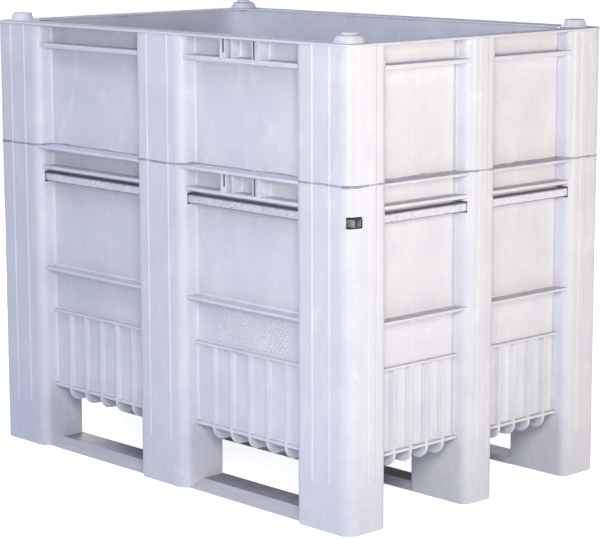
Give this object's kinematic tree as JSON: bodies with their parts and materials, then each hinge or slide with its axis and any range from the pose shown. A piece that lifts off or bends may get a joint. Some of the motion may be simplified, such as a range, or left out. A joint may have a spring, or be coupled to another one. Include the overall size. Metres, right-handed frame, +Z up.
{
  "type": "pallet box",
  "caption": "Tall open-topped plastic pallet box with hollow posts, steel tubes round its walls, feet on runners for fork entry from all sides, and pegs on the rim for stacking.",
  "frame": {"origin": "middle of the footprint, on the floor", "axes": "+X along the long sides, +Y along the short sides, +Z up"},
  "size_m": [1.2, 0.8, 1.03],
  "materials": {
    "moulded_plastic": "satin",
    "runner_plastic": "scuffed",
    "galvanised_steel": "dull zinc"
  },
  "bodies": {
    "root": {"lower_box": "moulded_plastic", "extension_collar": "moulded_plastic", "front_runner": "runner_plastic", "middle_runner": "runner_plastic", "rear_runner": "runner_plastic", "front_bar": "galvanised_steel", "rear_bar": "galvanised_steel", "right_bar": "galvanised_steel", "left_bar": "galvanised_steel"}
  },
  "joints": []
}
